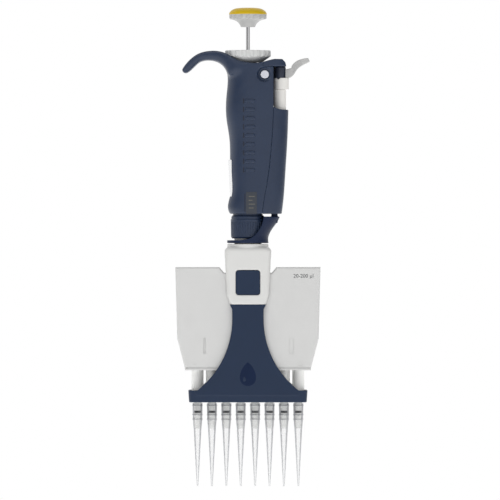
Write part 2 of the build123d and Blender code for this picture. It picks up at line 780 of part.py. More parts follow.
def wheel_pocket():
    """Clears the thumbwheel's cone and rim."""
    turn(WHEEL_POCKET, mode=Mode.SUBTRACT)


with BuildPart() as hook:
    with BuildSketch(Plane.XY.offset(240)):
        with BuildLine():
            front_side = Spline(*[(x, -half) for x, half in HOOK_PLAN])
            back_side = Spline(*HOOK_PLAN)
            Line(front_side @ 0, back_side @ 0)
            Line(front_side @ 1, back_side @ 1)
        make_face()
    extrude(amount=40)
    wheel_pocket()
    with BuildSketch(Plane.XZ) as side_view:
        with BuildLine():
            under = Spline(*HOOK_UNDERSIDE)
            Polyline(under @ 1, *HOOK_ROOT, (3.0, 280), (-41.1, 280), (-41.1, 260.3))
            RadiusArc((-41.1, 260.3), under @ 0, -2.4)
        make_face()
    extrude(side_view.sketch, amount=30, both=True, mode=Mode.INTERSECT)
    below_crown()
    side_edges = hook.edges().filter_by(lambda e: abs(e.center().Y) > 3)
    fillet(side_edges.filter_by(lambda e: e.length > 30 and e.center().Z < 266.8), HOOK_ROUND)

with BuildPart() as handle_shell:
    egg_loft(ENVELOPE)
    below_crown()
    right_of_seam(Mode.SUBTRACT)
    wheel_pocket()
    add(hook.part)
    block((CAP_X, 60), (-30, 30), (CAP_BOTTOM, 300), Mode.SUBTRACT)
    ring(BEARING_R, 0, HANDLE_BOTTOM - 1, 300, mode=Mode.SUBTRACT)
    ring(CAVITY_R, 0, SPIGOT_TOP, CAVITY_TOP, mode=Mode.SUBTRACT)
    block((-20, -LENS_IN), (-LENS_HALF_W, LENS_HALF_W), LENS, Mode.SUBTRACT)
    block((-LENS_IN - 1, -6), (-WINDOW_HALF_W, WINDOW_HALF_W), WINDOW, Mode.SUBTRACT)
    with BuildSketch(Plane.XZ.offset(-20)):
        with Locations((LOCK_X, LOCK_Z)):
            Circle(LOCK_R + 0.15)
    extrude(amount=40, mode=Mode.SUBTRACT)
    with BuildSketch(Plane.XZ.offset(LOCK_HALF - 1.2)):
        with Locations((LOCK_X, LOCK_Z)):
            Circle(LOCK_R + 1.6)
    extrude(amount=10, taper=-20, mode=Mode.SUBTRACT)
    block((12, 21.2), (-3.1, 3.1), BRACKET)
    block(*TUBE_RIB)
    ring(EJECTOR_ROD_R + 0.15, 0, BRACKET[0] - 1, BRACKET[1] + 1, EJECTOR_ROD_X, Mode.SUBTRACT)
save(handle_shell, "handle_shell")

with BuildPart() as top_cap:
    egg_loft(ENVELOPE[-3:])
    below_crown()
    wheel_pocket()
    with BuildSketch(Plane.XZ):
        with BuildLine():
            Polyline(*CAP_OUTLINE, close=True)
        make_face()
    extrude(amount=30, both=True, mode=Mode.INTERSECT)
save(top_cap, "top_cap")

with BuildPart() as rear_cover:
    egg_loft(ENVELOPE)
    egg_loft(ENVELOPE, shrink=COVER_WALL, mode=Mode.SUBTRACT)
    egg_loft([(COVER_CEILING, 13.5, 25.3, 14.0), (COVER_TOP + 2, 13.6, 25.3, 14.1)], shrink=0.4)
    with BuildSketch(Plane.XZ):
        with BuildLine():
            Polyline(*COVER_LIP, close=True)
        make_face()
    extrude(amount=30, both=True, mode=Mode.SUBTRACT)
    right_of_seam(Mode.INTERSECT)
    ring(TUBE_R + 0.2, 0, COVER_CEILING - 3, 240, TUBE_X, Mode.SUBTRACT)
save(rear_cover, "rear_cover")

with BuildPart() as window_lens:
    with BuildSketch(Plane.XZ):
        with BuildLine():
            Polyline(*LENS_OUTLINE, close=True)
        make_face()
    extrude(amount=LENS_HALF_W, both=True)
save(window_lens, "window_lens")

with BuildPart() as label_plate:
    egg_loft(ENVELOPE, shrink=-0.25)
    egg_loft(ENVELOPE, mode=Mode.SUBTRACT)
    block(LABEL_X, (-20, 0), (HANDLE_BOTTOM, LABEL_TOP), Mode.INTERSECT)
save(label_plate, "label_plate")

with BuildPart() as lock_button:
    with BuildSketch(Plane.XZ.offset(-LOCK_HALF)):
        with Locations((LOCK_X, LOCK_Z)):
            Circle(LOCK_R)
    extrude(amount=2 * LOCK_HALF)
    fillet(lock_button.edges().filter_by(GeomType.CIRCLE), 0.5)
save(lock_button, "lock_button")

with BuildPart() as wheel_bearing:
    ring(BEARING_R, HUB_R + 0.06, *BEARING)
save(wheel_bearing, "wheel_bearing")


# -------------------------------------------------------------------- volume adjustment

NUT = (230.0, 236.0)
SCREW_R = 6.2
SCREW = (NUT[0] - 4.0, NUT[1] + SCREW_TRAVEL + 3.2)
SLEEVE_R = 4.25
SLEEVE_BORE_R = 3.8
SLEEVE_BOTTOM = 182.0
SEAT = (212.0, 214.0)
DRUM_R = 8.6
DRUM_BORE_R = 4.6
DRUM_BOTTOMS = [182.4, 189.3, 196.2]
DRUM_H = 6.5
WHEEL_FLUTES = 20

with BuildPart() as volume_nut:
    ring(CAVITY_R, SCREW_R + 0.1, *NUT)
save(volume_nut, "volume_nut")

with BuildPart() as metering_screw:
    ring(SCREW_R, SLEEVE_R + 0.08, *SCREW)
    for groove_z in range(round(SCREW[0]) + 1, round(SCREW[1]), 2):
        ring(SCREW_R + 0.1, SCREW_R - 0.35, groove_z - 0.3, groove_z + 0.3, mode=Mode.SUBTRACT)
save(metering_screw, "metering_screw")

with BuildPart() as drive_sleeve:
    ring(SLEEVE_R, SLEEVE_BORE_R, SLEEVE_BOTTOM, HUB_BOTTOM)
    ring(SLEEVE_R, ROD_R + 0.15, *SEAT)
save(drive_sleeve, "drive_sleeve")

for drum_name, drum_z in zip(["units_drum", "tens_drum", "hundreds_drum"], DRUM_BOTTOMS):
    with BuildPart() as drum:
        ring(DRUM_R, SLEEVE_R if drum_name == "units_drum" else DRUM_BORE_R, drum_z, drum_z + DRUM_H)
    save(drum, drum_name)

with BuildPart() as thumbwheel:
    turn(
        [
            (ROD_R + 0.15, HUB_BOTTOM),
            (HUB_R, HUB_BOTTOM),
            (HUB_R, WHEEL_CONE),
            (9.0, WHEEL_CONE),
            (WHEEL_R, WHEEL_RIM),
            (WHEEL_R, WHEEL_TOP - 0.4),
            (WHEEL_R - 0.4, WHEEL_TOP),
            (WHEEL_R - 1.6, WHEEL_TOP),
            (WHEEL_R - 2.6, WHEEL_FLOOR),
            (ROD_R + 0.15, WHEEL_FLOOR),
        ]
    )
    ring(HUB_R, SLEEVE_R, HUB_BOTTOM - 2, HUB_BOTTOM)
    with BuildSketch(Plane.XY.offset(WHEEL_RIM - 1)):
        with PolarLocations(WHEEL_R + 0.8, WHEEL_FLUTES):
            Circle(1.7)
    extrude(amount=5, mode=Mode.SUBTRACT)
save(thumbwheel, "thumbwheel")


# ----------------------------------------------------------------------------- plunger

ROD_COLLAR = (246.0, 249.0)
BUTTON_FOOT_R = 4.4
BUTTON_FLUTES = 16

# Outline of the button's underside, from its foot out to the rim.
BUTTON_FLARE = [
    (BUTTON_FOOT_R, BUTTON_BOTTOM),
    (5.1, BUTTON_BOTTOM + 1.5),
    (6.6, BUTTON_BOTTOM + 3.2),
    (8.9, BUTTON_BOTTOM + 4.4),
    (BUTTON_R - 0.7, BUTTON_RIM),
]

with BuildPart() as plunger_rod:
    ring(ROD_R, 0, ROD_BOTTOM, ROD_TOP)
save(plunger_rod, "plunger_rod")

with BuildPart() as rod_collar:
    ring(3.5, ROD_R, *ROD_COLLAR)
save(rod_collar, "rod_collar")

with BuildPart() as plunger_spring:
    spring(2.95, 0.7, SEAT[1], ROD_COLLAR[0], 12)
save(plunger_spring, "plunger_spring")

with BuildPart() as push_button:
    with BuildSketch(Plane.XZ):
        with BuildLine():
            flare = Spline(*BUTTON_FLARE)
            Polyline(
                flare @ 1,
                (BUTTON_R, BUTTON_RIM + 0.6),
                (BUTTON_R, BUTTON_CAP),
                (0, BUTTON_CAP),
                (0, ROD_TOP),
                (ROD_R, ROD_TOP),
                (ROD_R, BUTTON_BOTTOM),
                flare @ 0,
            )
        make_face()
    revolve(axis=Axis.Z)
    with BuildSketch(Plane.XY.offset(BUTTON_RIM - 1)):
        with PolarLocations(BUTTON_R + 0.8, BUTTON_FLUTES):
            Circle(1.7)
    extrude(amount=3.6, mode=Mode.SUBTRACT)
save(push_button, "push_button")

with BuildPart() as button_cap:
    with BuildSketch(Plane.XZ):
        with BuildLine():
            Line((0, BUTTON_CAP), (BUTTON_R, BUTTON_CAP))
            Line((BUTTON_R, BUTTON_CAP), (BUTTON_R, BUTTON_CAP + 0.7))
            shoulder = Spline((BUTTON_R, BUTTON_CAP + 0.7), (10.4, 297.3), (7.0, 298.7), (0, BUTTON_TOP))
            Line((0, BUTTON_TOP), (0, BUTTON_CAP))
        make_face()
    revolve(axis=Axis.Z)
save(button_cap, "button_cap")
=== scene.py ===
"""Looks of the eight-channel pipette: its materials, softened moulded shells and fine detail.

The pieces are in metres, in the CAD frame: +Z up, -Y the front, +X towards the ejector lever.
Measures that are given in millimetres say so.
"""

import json
import math

import bmesh
import bpy
import numpy as np
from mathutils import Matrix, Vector
from mathutils.bvhtree import BVHTree

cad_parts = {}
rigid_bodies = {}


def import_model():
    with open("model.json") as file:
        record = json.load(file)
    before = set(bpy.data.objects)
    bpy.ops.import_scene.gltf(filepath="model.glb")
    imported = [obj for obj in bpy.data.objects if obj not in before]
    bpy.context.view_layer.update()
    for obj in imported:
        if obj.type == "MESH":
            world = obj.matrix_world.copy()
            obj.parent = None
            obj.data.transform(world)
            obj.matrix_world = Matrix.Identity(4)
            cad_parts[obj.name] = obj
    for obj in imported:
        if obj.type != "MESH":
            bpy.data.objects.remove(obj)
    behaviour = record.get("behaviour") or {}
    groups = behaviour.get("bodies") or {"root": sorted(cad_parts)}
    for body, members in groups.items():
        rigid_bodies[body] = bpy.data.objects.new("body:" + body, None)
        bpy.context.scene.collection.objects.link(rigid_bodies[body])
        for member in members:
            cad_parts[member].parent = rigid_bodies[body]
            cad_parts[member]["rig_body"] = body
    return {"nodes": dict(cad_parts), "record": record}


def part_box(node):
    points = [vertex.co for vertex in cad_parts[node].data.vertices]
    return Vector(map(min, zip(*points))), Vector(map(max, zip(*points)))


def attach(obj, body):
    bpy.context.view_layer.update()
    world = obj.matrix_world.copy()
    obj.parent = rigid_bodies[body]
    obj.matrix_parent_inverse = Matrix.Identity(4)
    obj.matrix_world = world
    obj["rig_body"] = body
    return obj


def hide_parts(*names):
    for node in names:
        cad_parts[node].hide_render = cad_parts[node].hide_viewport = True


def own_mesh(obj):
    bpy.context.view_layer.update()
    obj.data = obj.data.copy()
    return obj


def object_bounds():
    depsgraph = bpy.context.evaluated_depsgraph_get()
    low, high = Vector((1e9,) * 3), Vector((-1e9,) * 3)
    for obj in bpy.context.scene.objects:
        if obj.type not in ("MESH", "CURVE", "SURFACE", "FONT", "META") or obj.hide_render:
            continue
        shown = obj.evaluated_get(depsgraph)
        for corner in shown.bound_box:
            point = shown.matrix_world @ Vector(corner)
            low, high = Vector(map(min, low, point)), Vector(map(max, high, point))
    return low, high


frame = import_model()
nodes = frame["nodes"]
cad_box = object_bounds()
MM = 0.001

# ------------------------------------------------------------------------------ colours


def linear(red, green, blue):
    """A colour given as it looks on a screen, 0 to 255, in Blender's linear values."""
    def one(value):
        value /= 255
        return value / 12.92 if value <= 0.04045 else ((value + 0.055) / 1.055) ** 2.4
    return (one(red), one(green), one(blue), 1.0)


NAVY = linear(33, 47, 71)
NAVY_SHOVEL = linear(18, 38, 65)
NAVY_ARM = linear(20, 34, 62)
# The darker navy below is painted shade: it colours the painted shadows beside the grip bars, and also
# the dark line beside the label.
NAVY_SHADE_AND_EDGE = linear(24, 31, 48)
# The block's navy below is the navy lightened: painted light, to make up for the shade the block sits in.
NAVY_BLOCK_LIT = linear(46, 52, 68)
PALE = linear(215, 215, 213)
CASING = linear(208, 208, 207)
WARM_WHITE = linear(232, 230, 226)
BUTTON_GREY = linear(187, 187, 186)
WHEEL_GREY = linear(208, 209, 208)
LEVER_GREY = linear(183, 183, 182)
YELLOW = linear(206, 172, 0)
DOT_WHITE = linear(206, 207, 215)
# The tip holders' white below is lighter than the pale plastic: painted light, to make up for the shade
# in the recess and behind the tips' walls.
HOLDER_WHITE_LIT = linear(248, 248, 246)
STEEL = linear(238, 238, 240)
SPRING_STEEL = linear(150, 151, 154)
BRASS = linear(196, 160, 92)
LABEL = linear(48, 53, 62)
LABEL_LINE = linear(98, 96, 88)
INK = linear(60, 62, 66)
MARK_BLUE = linear(4, 26, 58)
BLACK = linear(30, 30, 32)
SEAL_WHITE = linear(225, 224, 218)
DRUM_WHITE = linear(236, 236, 232)
TIP_GREY = linear(186, 187, 190)
TIP_RIM_GREY = linear(160, 161, 166)
WINDOW_GREY = linear(176, 178, 186)


# ---------------------------------------------------------------------------- materials


# How many features of each noise fit in a metre.
MOTTLE_SCALE = 70.0
GLOSS_SCALE = 260.0
GRAIN_SCALE = 2600.0
LINE_SCALE = 9000.0
CLOUD_SCALE = 300.0
CLEAR_GLOSS_SCALE = 900.0

# How deep the grain of a moulding and the lines of turned metal are, in metres.
GRAIN_DEPTH = 0.00003
LINE_DEPTH = 0.00002

# Noise rarely leaves this span, so it is what gets mapped.
NOISE_SPAN = (0.3, 0.7)

# How far clear plastic is turned from the eye where it is seen square on and edge on.
CLEAR_SPAN = (0.15, 0.75)
CLEAR_SHADOW = (0.97, 0.97, 0.97, 1)


def new_material(name):
    """A fresh node material and its shader."""
    material = bpy.data.materials.new(name)
    material.use_nodes = True
    return material, material.node_tree.nodes["Principled BSDF"]


def noise(tree, scale, detail=3.0):
    """Noise in the piece's own space, with about scale features in a metre."""
    coordinates = tree.nodes.new("ShaderNodeTexCoord")
    texture = tree.nodes.new("ShaderNodeTexNoise")
    texture.inputs["Scale"].default_value = scale
    texture.inputs["Detail"].default_value = detail
    texture.inputs["Roughness"].default_value = 0.55
    tree.links.new(coordinates.outputs["Object"], texture.inputs["Vector"])
    return texture.outputs["Fac"]


def ramp(tree, factor, low, high):
    """Turns a noise factor into a colour between two."""
    node = tree.nodes.new("ShaderNodeValToRGB")
    for stop, position, colour in zip(node.color_ramp.elements, NOISE_SPAN, (low, high)):
        stop.position = position
        stop.color = colour
    tree.links.new(factor, node.inputs["Fac"])
    return node.outputs["Color"]


def map_range(tree, value, span, result):
    """Turns a value that runs over one span into one that runs over another."""
    node = tree.nodes.new("ShaderNodeMapRange")
    for socket, number in zip(("From Min", "From Max", "To Min", "To Max"), (*span, *result)):
        node.inputs[socket].default_value = number
    tree.links.new(value, node.inputs["Value"])
    return node.outputs["Result"]


def spread(tree, factor, low, high):
    """Turns a noise factor into a number between two."""
    return map_range(tree, factor, NOISE_SPAN, (low, high))


def bump(tree, shader, height, strength, distance):
    """Drives the shader's normal from a height."""
    node = tree.nodes.new("ShaderNodeBump")
    node.inputs["Strength"].default_value = strength
    node.inputs["Distance"].default_value = distance
    tree.links.new(height, node.inputs["Height"])
    tree.links.new(node.outputs["Normal"], shader.inputs["Normal"])


def shade(colour, factor):
    """The same colour, lighter or darker."""
    return (*[min(1.0, channel * factor) for channel in colour[:3]], 1.0)


def moulded(name, colour, roughness, mottle=0.06, grain=0.25, specular=0.5):
    """Moulded plastic: faint mottling, a spark-eroded grain and uneven gloss."""
    material, shader = new_material(name)
    tree = material.node_tree
    broad = noise(tree, MOTTLE_SCALE, 4.0)
    colours = ramp(tree, broad, shade(colour, 1 - mottle), shade(colour, 1 + mottle))
    tree.links.new(colours, shader.inputs["Base Color"])
    gloss = spread(tree, noise(tree, GLOSS_SCALE), roughness - 0.05, roughness + 0.05)
    tree.links.new(gloss, shader.inputs["Roughness"])
    shader.inputs["IOR"].default_value = 1.49
    shader.inputs["Specular IOR Level"].default_value = specular
    bump(tree, shader, noise(tree, GRAIN_SCALE, 2.0), grain, GRAIN_DEPTH)
    return material


def metal(name, colour, roughness, along):
    """Turned or drawn metal, its fine lines stretched along the axis that has the smallest scale."""
    material, shader = new_material(name)
    tree = material.node_tree
    shader.inputs["Metallic"].default_value = 1.0
    coordinates = tree.nodes.new("ShaderNodeTexCoord")
    mapping = tree.nodes.new("ShaderNodeMapping")
    mapping.inputs["Scale"].default_value = along
    lines = tree.nodes.new("ShaderNodeTexNoise")
    lines.inputs["Scale"].default_value = LINE_SCALE
    tree.links.new(coordinates.outputs["Object"], mapping.inputs["Vector"])
    tree.links.new(mapping.outputs["Vector"], lines.inputs["Vector"])
    colours = ramp(tree, lines.outputs["Fac"], shade(colour, 0.9), colour)
    tree.links.new(colours, shader.inputs["Base Color"])
    gloss = spread(tree, lines.outputs["Fac"], roughness, roughness + 0.1)
    tree.links.new(gloss, shader.inputs["Roughness"])
    bump(tree, shader, lines.outputs["Fac"], 0.08, LINE_DEPTH)
    return material


def clear(name, colour, roughness, face, edge, specular):
    """Clear plastic: face and edge are how solid it is seen square on and edge on."""
    material, shader = new_material(name)
    tree = material.node_tree
    shader.inputs["IOR"].default_value = 1.45
    colours = ramp(tree, noise(tree, CLOUD_SCALE), shade(colour, 0.97), colour)
    tree.links.new(colours, shader.inputs["Base Color"])
    gloss = spread(tree, noise(tree, CLEAR_GLOSS_SCALE), roughness, roughness + 0.04)
    tree.links.new(gloss, shader.inputs["Roughness"])
    shader.inputs["Specular IOR Level"].default_value = specular
    weight = tree.nodes.new("ShaderNodeLayerWeight")
    solid = map_range(tree, weight.outputs["Facing"], CLEAR_SPAN, (face, edge))
    tree.links.new(solid, shader.inputs["Alpha"])
    ray = tree.nodes.new("ShaderNodeLightPath")
    passing = tree.nodes.new("ShaderNodeBsdfTransparent")
    passing.inputs["Color"].default_value = CLEAR_SHADOW
    mix = tree.nodes.new("ShaderNodeMixShader")
    tree.links.new(ray.outputs["Is Shadow Ray"], mix.inputs["Fac"])
    tree.links.new(shader.outputs["BSDF"], mix.inputs[1])
    tree.links.new(passing.outputs["BSDF"], mix.inputs[2])
    tree.links.new(mix.outputs["Shader"], tree.nodes["Material Output"].inputs["Surface"])
    return material


looks = {
    "navy": moulded("navy_plastic", NAVY, 0.36, grain=0.2, specular=0.45),
    "navy_arm": moulded("navy_arm_plastic", NAVY_ARM, 0.45, specular=0.25),
    "navy_shade_and_edge": moulded("navy_painted_shade_and_edge", NAVY_SHADE_AND_EDGE, 0.45, specular=0.4),
    "navy_block_lit": moulded("navy_block_painted_light", NAVY_BLOCK_LIT, 0.45, specular=0.4),
    "navy_shovel": moulded(
        "navy_shovel_plastic", NAVY_SHOVEL, 0.42, mottle=0.04, grain=0.15, specular=0.35
    ),
    "pale": moulded("pale_plastic", PALE, 0.42, mottle=0.015, grain=0.12),
    "holder": moulded("tip_holder_painted_light", HOLDER_WHITE_LIT, 0.4, mottle=0.015, grain=0.1),
    "casing": moulded("casing_plastic", CASING, 0.42, mottle=0.015, grain=0.12),
    "warm_white": moulded("warm_white_plastic", WARM_WHITE, 0.34, mottle=0.015, grain=0.08),
    "button": moulded("button_plastic", BUTTON_GREY, 0.45, mottle=0.02, grain=0.15),
    "wheel": moulded("wheel_plastic", WHEEL_GREY, 0.42, mottle=0.02, grain=0.15),
    "lever": moulded("lever_plastic", LEVER_GREY, 0.42, mottle=0.02, grain=0.15),
    "yellow": moulded("yellow_plastic", YELLOW, 0.36, mottle=0.03, grain=0.1, specular=0.3),
    "dot": moulded("white_button_plastic", DOT_WHITE, 0.3, mottle=0.01, grain=0.05),
    "label": moulded("label_film", LABEL, 0.5, mottle=0.08, grain=0.1),
    "label_line": moulded("label_lines", LABEL_LINE, 0.5, mottle=0.05, grain=0.1),
    "ink": moulded("printed_ink", INK, 0.6, mottle=0.05, grain=0.1),
    "mark_ink": moulded("drop_mark_ink", MARK_BLUE, 0.5, mottle=0.04, grain=0.1, specular=0.2),
    "rubber": moulded("black_rubber", BLACK, 0.6, mottle=0.1, grain=0.3),
    "seal": moulded("white_seal_rubber", SEAL_WHITE, 0.5, mottle=0.03, grain=0.2),
    "drum": moulded("drum_plastic", DRUM_WHITE, 0.45, mottle=0.02, grain=0.1),
    "steel": metal("polished_steel", STEEL, 0.1, along=(1.0, 1.0, 0.02)),
    "spring": metal("spring_steel", SPRING_STEEL, 0.25, along=(1.0, 1.0, 1.0)),
    "brass": metal("turned_brass", BRASS, 0.28, along=(0.02, 0.02, 1.0)),
    "tip": clear("polypropylene", TIP_GREY, 0.18, 0.05, 1.0, 0.15),
    "tip_ring": clear("polypropylene_rim", TIP_RIM_GREY, 0.2, 0.28, 1.0, 0.15),
    "window": clear("clear_window", WINDOW_GREY, 0.05, 0.1, 0.8, 0.4),
}

SHARP_ANGLE = math.radians(32)

NODE_LOOKS = {
    "navy": ["handle_shell", "rear_cover", "top_cap", "ejector_arm", "coupling_nut", "coupling_spigot"],
    "navy_block_lit": ["ejector_block"],
    "navy_shovel": ["ejector_shovel", "latch_button"],
    "pale": ["ejector_collar", "manifold_neck", "piston_plate"],
    "casing": ["case_front", "case_back", "base_plate"],
    "warm_white": ["ejector_tube", "ejector_head"],
    "lever": ["ejector_lever"],
    "button": ["push_button"],
    "wheel": ["thumbwheel"],
    "yellow": ["button_cap"],
    "dot": ["lock_button"],
    "label": ["label_plate"],
    "rubber": ["nozzle_seals"],
    "seal": ["piston_seals"],
    "drum": ["units_drum", "tens_drum", "hundreds_drum"],
    "steel": [
        "plunger_rod", "ejector_rod", "piston_rod", "pistons", "guide_rods", "rod_collar", "drive_sleeve",
    ],
    "spring": ["plunger_spring", "ejector_spring", "return_springs", "casing_screws"],
    "brass": ["wheel_bearing", "volume_nut", "metering_screw"],
    "window": ["window_lens"],
}
NODE_LOOKS["tip"] = [name for name in nodes if name.startswith("tip_") and "holder" not in name]
NODE_LOOKS["holder"] = [name for name in nodes if name.startswith("tip_holder")]

for look, names in NODE_LOOKS.items():
    for name in names:
        mesh = nodes[name].data
        mesh.materials.clear()
        mesh.materials.append(looks[look])
        mesh.shade_smooth()
        mesh.set_sharp_from_angle(angle=SHARP_ANGLE)


# ----------------------------------------------------------------------- softened shells


# How far each round moves a point towards its neighbours, and the width of a zone's soft edge.
MELT_STEP = 0.6
MELT_EDGE = 0.004

# Boxes, in millimetres, that are smoothed further than the rest of their shell.
WHOLE = [(-60, 60), (-30, 30), (0, 400)]
HOOK_ROOT = [(-22, 0), (-30, 30), (246, 270)]
HOOK_ARM = [(-42, -10), (-30, 30), (250, 280)]

# How far each round of the first smoothing goes.
SMOOTH_STEP = 0.35


def new_object(name, data):
    """An object with this data, in the scene."""
    made = bpy.data.objects.new(name, data)
    bpy.context.scene.collection.objects.link(made)
    return made


def melt(mesh, zone, rounds):
    """Smooths the part of a mesh inside a box, most in the middle of the box."""
    points = np.empty(len(mesh.vertices) * 3)
    mesh.vertices.foreach_get("co", points)
    points = points.reshape(-1, 3)
    edges = np.empty(len(mesh.edges) * 2, dtype=np.int64)
    mesh.edges.foreach_get("vertices", edges)
    near, far = edges.reshape(-1, 2).T
    count = len(points)
    degree = np.maximum(np.bincount(near, minlength=count) + np.bincount(far, minlength=count), 1)
    low, high = np.array(zone, dtype=float).T * MM
    inside = np.minimum(points - low, high - points) / MELT_EDGE
    weight = np.clip(inside, 0.0, 1.0).min(axis=1) * MELT_STEP
    for _ in range(rounds):
        for axis in range(3):
            column = points[:, axis]
            total = np.bincount(near, column[far], count) + np.bincount(far, column[near], count)
            points[:, axis] += weight * (total / degree - column)
    mesh.vertices.foreach_set("co", points.ravel())
    mesh.update()


def soften(name, voxel, rounds, look, melts=()):
    """Replaces a CAD shell by a finer copy whose edges are rounded as moulded edges are."""
    source = nodes[name]
    piece = new_object(name + "_moulding", source.data.copy())
    remesh = piece.modifiers.new("remesh", "REMESH")
    remesh.mode = "VOXEL"
    remesh.voxel_size = voxel
    smooth = piece.modifiers.new("smooth", "LAPLACIANSMOOTH")
    smooth.iterations = rounds
    smooth.lambda_factor = SMOOTH_STEP
    smooth.lambda_border = 0.0
    smooth.use_volume_preserve = True
    graph = bpy.context.evaluated_depsgraph_get()
    baked = bpy.data.meshes.new_from_object(piece.evaluated_get(graph))
    piece.modifiers.clear()
    piece.data = baked
    for zone, melt_rounds in melts:
        melt(baked, zone, melt_rounds)
    baked.materials.clear()
    baked.materials.append(looks[look])
    baked.shade_smooth()
    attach(piece, source["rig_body"])
    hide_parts(name)
    return piece


handle = soften("handle_shell", 0.00045, 3, "navy", [(HOOK_ROOT, 60), (HOOK_ARM, 10)])
cover = soften("rear_cover", 0.00035, 2, "navy")
soften("top_cap", 0.0003, 2, "navy", [(WHOLE, 1)])
soften("ejector_arm", 0.0003, 3, "navy_arm", [(WHOLE, 3)])
soften("ejector_collar", 0.00035, 3, "pale", [(WHOLE, 3)])
shovel = soften("ejector_shovel", 0.0004, 2, "navy_shovel")
soften("ejector_lever", 0.00025, 4, "lever", [(WHOLE, 2)])
head = soften("ejector_head", 0.0002, 2, "warm_white")


def widen(piece, amount):
    """Reaches the left side of a piece further to the left, by an amount in millimetres."""
    xs = [vertex.co.x for vertex in piece.data.vertices]
    left, right = min(xs), max(xs)
    for vertex in piece.data.vertices:
        vertex.co.x -= amount * MM * (right - vertex.co.x) / (right - left)


def hollow(piece, left, right, sag, fade):
    """Lowers a top edge between its two ends, each (x, z), in millimetres, fading out below it."""
    for vertex in piece.data.vertices:
        along = min(1.0, max(0.0, (vertex.co.x / MM - left[0]) / (right[0] - left[0])))
        edge = left[1] + (right[1] - left[1]) * along
        near = min(1.0, max(0.0, (vertex.co.z / MM - edge) / fade + 1))
        vertex.co.z -= sag * MM * 4 * along * (1 - along) * near


# The push tube's head stands close to the handle, and the rear cover's top edge is hollow.
widen(head, 0.4)
hollow(cover, (15.8, 237.0), (24.7, 235.0), sag=0.7, fade=4)

# The lever's block, its top raised almost to the underside of the top cap. In millimetres.
BLOCK_RISE = 0.26
BLOCK_TOP_DEPTH = 0.05
block_source = nodes["ejector_block"]
block = new_object("ejector_block_moulding", block_source.data.copy())
block_top = max(vertex.co.z for vertex in block.data.vertices)
for vertex in block.data.vertices:
    if vertex.co.z > block_top - BLOCK_TOP_DEPTH * MM:
        vertex.co.z += BLOCK_RISE * MM
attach(block, block_source["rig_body"])
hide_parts("ejector_block")

# CAD nodes whose moulded or turned edges are broken by a small round, by its width in metres.
EDGE_ROUNDS = {
    0.0007: ["case_front", "case_back"],
    0.00035: ["base_plate", "latch_button"],
    0.00015: ["coupling_nut", "thumbwheel", "push_button", "window_lens"],
}
EDGE_ANGLE = math.radians(35)
for width, names in EDGE_ROUNDS.items():
    for name in names:
        edge_round = nodes[name].modifiers.new("edge_round", "BEVEL")
        edge_round.width = width
        edge_round.segments = 2
        edge_round.limit_method = "ANGLE"
        edge_round.angle_limit = EDGE_ANGLE

# Springs that shorten as their joint moves, each put in as its own copy of the CAD coil on the same body.
for joint in frame["record"]["behaviour"]["joints"]:
    for spring in joint.get("deforming_nodes", []):
        source = nodes[spring["node"]]
        coil = new_object(spring["node"] + "_coil", source.data.copy())
        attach(coil, source["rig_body"])
        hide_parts(spring["node"])
        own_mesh(coil)


# ------------------------------------------------------------------------- raised detail


def bake(name, build):
    """The mesh of a finished build, with its faces turned outwards."""
    bmesh.ops.recalc_face_normals(build, faces=build.faces)
    mesh = bpy.data.meshes.new(name)
    build.to_mesh(mesh)
    build.free()
    return mesh


def add_piece(name, mesh, look, body):
    """Puts a finished mesh in the scene as a piece of the object."""
    piece = new_object(name, mesh)
    mesh.materials.clear()
    mesh.materials.append(looks[look])
    mesh.shade_smooth()
    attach(piece, body)


# How finely a round corner and a drop are drawn.
CORNER_STEPS = 6
DROP_STEPS = 40


def rounded_bar(half_w, half_h, corner):
    """Outline of a bar with round corners, as points about its middle."""
    outline = []
    for quarter, (side, end) in enumerate([(1, 1), (-1, 1), (-1, -1), (1, -1)]):
        for step in range(CORNER_STEPS + 1):
            angle = math.radians(90 * (quarter + step / CORNER_STEPS))
            x = side * (half_w - corner) + corner * math.cos(angle)
            z = end * (half_h - corner) + corner * math.sin(angle)
            outline.append((x, z))
    return outline


def drop(radius, height):
    """Outline of a drop of liquid standing on its round end."""
    outline = []
    for step in range(DROP_STEPS):
        angle = 2 * math.pi * step / DROP_STEPS - math.pi / 2
        x = radius * math.cos(angle)
        z = radius * math.sin(angle)
        if z > 0:
            x *= (1 - (z / radius) ** 2) ** 0.35
            z *= height / radius
        outline.append((x, z))
    return outline


# How deep the edge of a pad is sunk, in millimetres, and where in front, in metres, its rays start.
PAD_SINK = 0.06
PAD_FRONT = -0.1

# Where the rings of a pad lie, as shares of the way from its edge to where it is flat.
PAD_RINGS = (0, 0.35, 0.7, 1)


def pad(build, surface, centre, outline, height, crown):
    """Adds a low pad with this outline, lying on the front of a surface. All in millimetres.

    crown is how much of the way from edge to middle the pad takes to reach its full height.
    """
    def point(x, z, rise):
        start = Vector(((centre[0] + x) * MM, PAD_FRONT, (centre[1] + z) * MM))
        place, normal, _, _ = surface.ray_cast(start, Vector((0, 1, 0)))
        return build.verts.new(place + normal * rise * MM)

    rings = []
    for share in (*[1 - crown * part for part in PAD_RINGS], (1 - crown) * 0.5):
        rise = height * math.sin(min(1.0, (1 - share) / crown) * math.pi / 2) - PAD_SINK
        rings.append([point(x * share, z * share, rise) for x, z in outline])
    rings.insert(0, [point(x, z, -3 * PAD_SINK) for x, z in outline])
    for outer, inner in zip(rings, rings[1:]):
        for i in range(len(outline)):
            j = (i + 1) % len(outline)
            build.faces.new((outer[i], outer[j], inner[j], inner[i]))
    build.faces.new(rings[-1])
    build.faces.new(list(reversed(rings[0])))


def pads(name, piece, places, outline, height, look, body, crown=0.4):
    """Adds one piece made of the same pad at several places on the front of another piece."""
    build = bmesh.new()
    surface = BVHTree.FromObject(piece, bpy.context.evaluated_depsgraph_get())
    for centre in places:
        pad(build, surface, centre, outline, height, crown)
    add_piece(name, bake(name, build), look, body)
